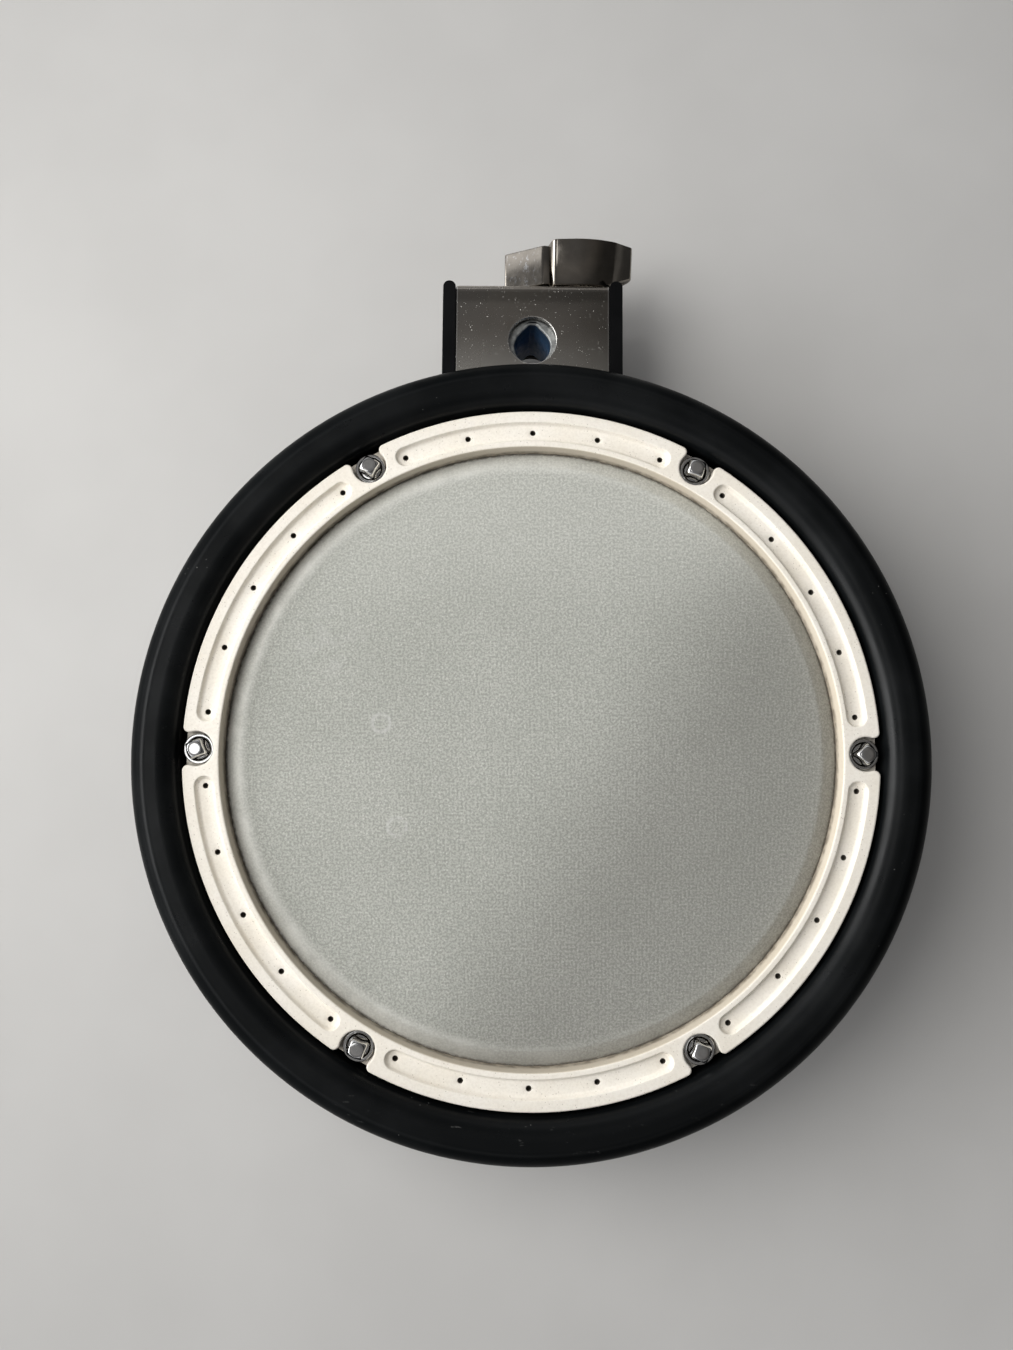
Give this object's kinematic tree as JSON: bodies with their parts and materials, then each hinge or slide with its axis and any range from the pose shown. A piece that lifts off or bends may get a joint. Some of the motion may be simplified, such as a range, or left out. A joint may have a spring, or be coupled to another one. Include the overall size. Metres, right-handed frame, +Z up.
{
  "type": "electronic drum pad",
  "caption": "Round electronic drum pad with a tensioned mesh head in a metal hoop, a rubber rim ring, an output jack and a rod holder with an eye bolt and wing nut.",
  "frame": {"origin": "centre of the bottom rest face, on the pad's axis", "axes": "+Z up out of the playing face, +Y towards the rod holder, +X to the right"},
  "size_m": [0.267, 0.3213, 0.07],
  "materials": {
    "case_plastic": "fine moulded grain",
    "frame_plastic": "moulded",
    "rim_rubber": "satin rubber, lightly scuffed",
    "hoop_paint": "off-white, finely speckled",
    "mesh": "woven",
    "bright_steel": "polished plating",
    "holder_steel": "satin plated",
    "nut_chrome": "dark bright plating",
    "zinc": "zinc plated",
    "brass": "plain",
    "ceramic": "silvered ceramic",
    "foam": "open cell foam",
    "tape": "foam tape",
    "board": "lacquered laminate",
    "jack_plastic": "plain",
    "wire_red": "insulated wire",
    "wire_black": "insulated wire",
    "black_screw": "black plated"
  },
  "bodies": {
    "root": {"lower_case": "case_plastic", "drum_frame": "frame_plastic", "rubber_rim": "rim_rubber", "threaded_inserts": "brass", "sensor_plate": "zinc", "sensor_pad": "foam", "head_piezo": "brass", "head_piezo_ceramic": "ceramic", "foam_cone": "foam", "rim_piezo": "brass", "rim_piezo_tape": "tape", "jack_board": "board", "lead_header": "tape", "jack_body": "jack_plastic", "jack_washer": "bright_steel", "jack_nut": "bright_steel", "head_lead": "wire_red", "rim_lead": "wire_black", "holder_box": "holder_steel", "nut_washer": "zinc", "holder_screws": "zinc", "case_screws": "black_screw", "plate_screws": "zinc", "board_screws": "zinc"},
    "hoop_set": {"hoop": "hoop_paint", "head_mesh": "mesh", "flesh_hoop": "zinc", "bolt_cups": "bright_steel"},
    "bolt_1": {"tension_bolt_1": "bright_steel"},
    "bolt_2": {"tension_bolt_2": "bright_steel"},
    "bolt_3": {"tension_bolt_3": "bright_steel"},
    "bolt_4": {"tension_bolt_4": "bright_steel"},
    "bolt_5": {"tension_bolt_5": "bright_steel"},
    "bolt_6": {"tension_bolt_6": "bright_steel"},
    "nut": {"wing_nut": "nut_chrome"},
    "eye": {"eye_bolt": "zinc"}
  },
  "joints": [
    {"name": "hoop_lift", "type": "slide", "parent": "root", "child": "hoop_set", "axis": [0, 0, 1], "range_m": [0, 0.00317]},
    {"name": "bolt_1_turn", "type": "hinge", "parent": "hoop_set", "child": "bolt_1", "pos_m": [0.111, 0, 0.06], "axis": [0, 0, 1], "range_deg": [0, 1080]},
    {"name": "bolt_2_turn", "type": "hinge", "parent": "hoop_set", "child": "bolt_2", "pos_m": [0.0555, 0.09613, 0.06], "axis": [0, 0, 1], "range_deg": [0, 1080]},
    {"name": "bolt_3_turn", "type": "hinge", "parent": "hoop_set", "child": "bolt_3", "pos_m": [-0.0555, 0.09613, 0.06], "axis": [0, 0, 1], "range_deg": [0, 1080]},
    {"name": "bolt_4_turn", "type": "hinge", "parent": "hoop_set", "child": "bolt_4", "pos_m": [-0.111, 0, 0.06], "axis": [0, 0, 1], "range_deg": [0, 1080]},
    {"name": "bolt_5_turn", "type": "hinge", "parent": "hoop_set", "child": "bolt_5", "pos_m": [-0.0555, -0.09613, 0.06], "axis": [0, 0, 1], "range_deg": [0, 1080]},
    {"name": "bolt_6_turn", "type": "hinge", "parent": "hoop_set", "child": "bolt_6", "pos_m": [0.0555, -0.09613, 0.06], "axis": [0, 0, 1], "range_deg": [0, 1080]},
    {"name": "wing_nut_turn", "type": "hinge", "parent": "root", "child": "nut", "pos_m": [0, 0.18, 0.029], "axis": [0, -1, 0], "range_deg": [-720, 1080]},
    {"name": "eye_bolt_slide", "type": "slide", "parent": "root", "child": "eye", "axis": [0, 1, 0], "range_m": [-0.0025, 0.00375]}
  ],
  "couplings": [
    {"joint": "bolt_1_turn", "follows": "hoop_lift", "rad_per_m": 5936.9},
    {"joint": "bolt_2_turn", "follows": "hoop_lift", "rad_per_m": 5936.9},
    {"joint": "bolt_3_turn", "follows": "hoop_lift", "rad_per_m": 5936.9},
    {"joint": "bolt_4_turn", "follows": "hoop_lift", "rad_per_m": 5936.9},
    {"joint": "bolt_5_turn", "follows": "hoop_lift", "rad_per_m": 5936.9},
    {"joint": "bolt_6_turn", "follows": "hoop_lift", "rad_per_m": 5936.9},
    {"joint": "eye_bolt_slide", "follows": "wing_nut_turn", "m_per_rad": 0.00019894}
  ]
}
